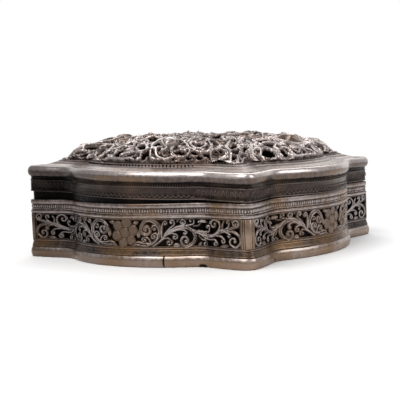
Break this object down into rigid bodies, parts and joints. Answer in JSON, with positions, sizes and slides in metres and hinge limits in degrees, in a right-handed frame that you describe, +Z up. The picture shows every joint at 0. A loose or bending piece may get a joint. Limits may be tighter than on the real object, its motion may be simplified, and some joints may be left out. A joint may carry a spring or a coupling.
{
  "type": "paan box",
  "caption": "Square silver paan box with four lobed sides, pierced scrollwork walls and a pierced domed lift-off lid over a lift-out tray of lidded cups.",
  "frame": {"origin": "centre of the underside, on the ground plane", "axes": "+Z up; -Y towards the front side, +X towards the right side, the one the cocked lid sits low on"},
  "size_m": [0.1736, 0.1732, 0.0664],
  "materials": {
    "silver_old": "old oxidised silver, warm grey-brown, darker in recesses",
    "silver_roll": "handled silver, worn brighter on the rounded edges, with brown tarnish",
    "silver_dark": "dark unpolished silver sheet",
    "silver_tray": "plain satin silver"
  },
  "bodies": {
    "base": {"bottom_plate": "silver_dark", "base_roll": "silver_roll", "plinth": "silver_old", "base_band": "silver_old", "lining": "silver_dark", "panel_front": "silver_old", "panel_right": "silver_old", "panel_back": "silver_old", "panel_left": "silver_old", "pilaster_front_right": "silver_old", "pilaster_back_right": "silver_old", "pilaster_back_left": "silver_old", "pilaster_front_left": "silver_old"},
    "lid": {"lid_skirt": "silver_old", "lid_roll": "silver_roll", "lid_flange": "silver_old", "lid_dome": "silver_old", "lid_bosses": "silver_old"},
    "tray": {"tray_shell": "silver_tray", "partition_long": "silver_tray", "partition_left": "silver_tray", "partition_right": "silver_tray", "partition_back": "silver_tray", "tray_loops": "silver_tray", "cup_lime": "silver_tray", "cup_catechu": "silver_tray", "cup_spice": "silver_tray"},
    "cup_lid_lime": {"cup_lid_lime": "silver_tray", "knob_lime": "silver_tray"},
    "cup_lid_catechu": {"cup_lid_catechu": "silver_tray", "knob_catechu": "silver_tray"},
    "cup_lid_spice": {"cup_lid_spice": "silver_tray", "knob_spice": "silver_tray"}
  },
  "joints": [
    {"name": "lid_lift", "type": "slide", "parent": "base", "child": "lid", "axis": [0, 0, 1], "range_m": [0, 0.06]},
    {"name": "tray_lift", "type": "slide", "parent": "base", "child": "tray", "axis": [0, 0, 1], "range_m": [0, 0.004]},
    {"name": "lime_lid_lift", "type": "slide", "parent": "tray", "child": "cup_lid_lime", "axis": [0, 0, 1], "range_m": [0, 0.006]},
    {"name": "catechu_lid_lift", "type": "slide", "parent": "tray", "child": "cup_lid_catechu", "axis": [0, 0, 1], "range_m": [0, 0.006]},
    {"name": "spice_lid_lift", "type": "slide", "parent": "tray", "child": "cup_lid_spice", "axis": [0, 0, 1], "range_m": [0, 0.006]}
  ]
}
